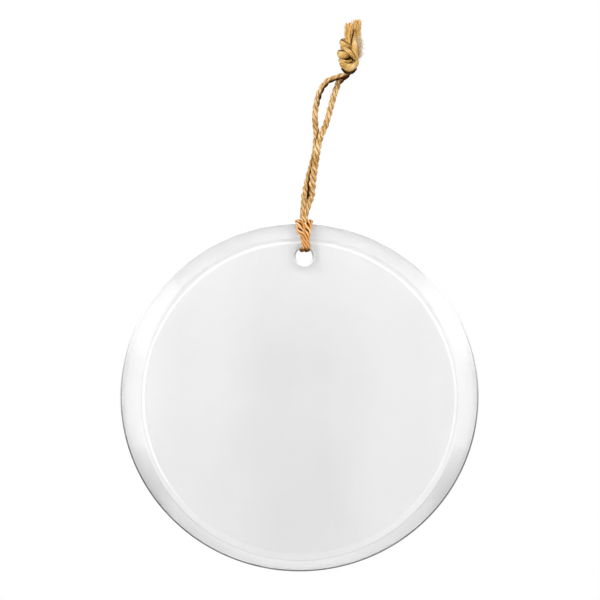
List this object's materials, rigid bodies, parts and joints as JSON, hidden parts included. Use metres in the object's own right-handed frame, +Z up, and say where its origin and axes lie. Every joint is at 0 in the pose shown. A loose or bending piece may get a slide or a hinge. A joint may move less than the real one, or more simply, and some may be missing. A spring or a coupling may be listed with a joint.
{
  "type": "hanging ornament",
  "caption": "Round bevelled glass hanging ornament with a white-backed plain face, on a hitched and knotted loop of jute twine with frayed ends.",
  "frame": {"origin": "top of the opening of the twine loop, just under the knot, where a hook or a branch carries the ornament", "axes": "+Z up along the pull of the loop, -Y out of the bevelled front face, +X to the right seen from the front"},
  "size_m": [0.089, 0.0082, 0.1377],
  "materials": {
    "glass": "polished, with a ground bevel and rim",
    "coating": "white film on the back of the glass",
    "twine": "three-ply jute, hairy",
    "hitch_twine": "three-ply jute, pulled tight"
  },
  "bodies": {
    "hanger": {"strand_left": "twine", "strand_right": "twine", "knot": "twine", "frayed_end_left": "twine", "frayed_end_right": "twine"},
    "turning_neck": {"neck_upper": "twine"},
    "folding_neck": {"neck_lower": "twine"},
    "pendant": {"hitch_leg_left": "hitch_twine", "hitch_leg_right": "hitch_twine", "hitch_bight": "hitch_twine", "glass_disc": "glass", "back_coating": "coating"}
  },
  "joints": [
    {"name": "twine_twist", "type": "hinge", "parent": "hanger", "child": "turning_neck", "pos_m": [-0.00606, 0, -0.0282], "axis": [0.2085, 0, 0.978], "range_deg": [-180, 180]},
    {"name": "pendant_fold", "type": "hinge", "parent": "turning_neck", "child": "folding_neck", "pos_m": [-0.00653, 0, -0.0304], "axis": [1, 0, 0], "range_deg": [-75, 75]},
    {"name": "pendant_swing", "type": "hinge", "parent": "folding_neck", "child": "pendant", "pos_m": [-0.00687, 0, -0.032], "axis": [0, 1, 0], "range_deg": [-40, 40]}
  ]
}
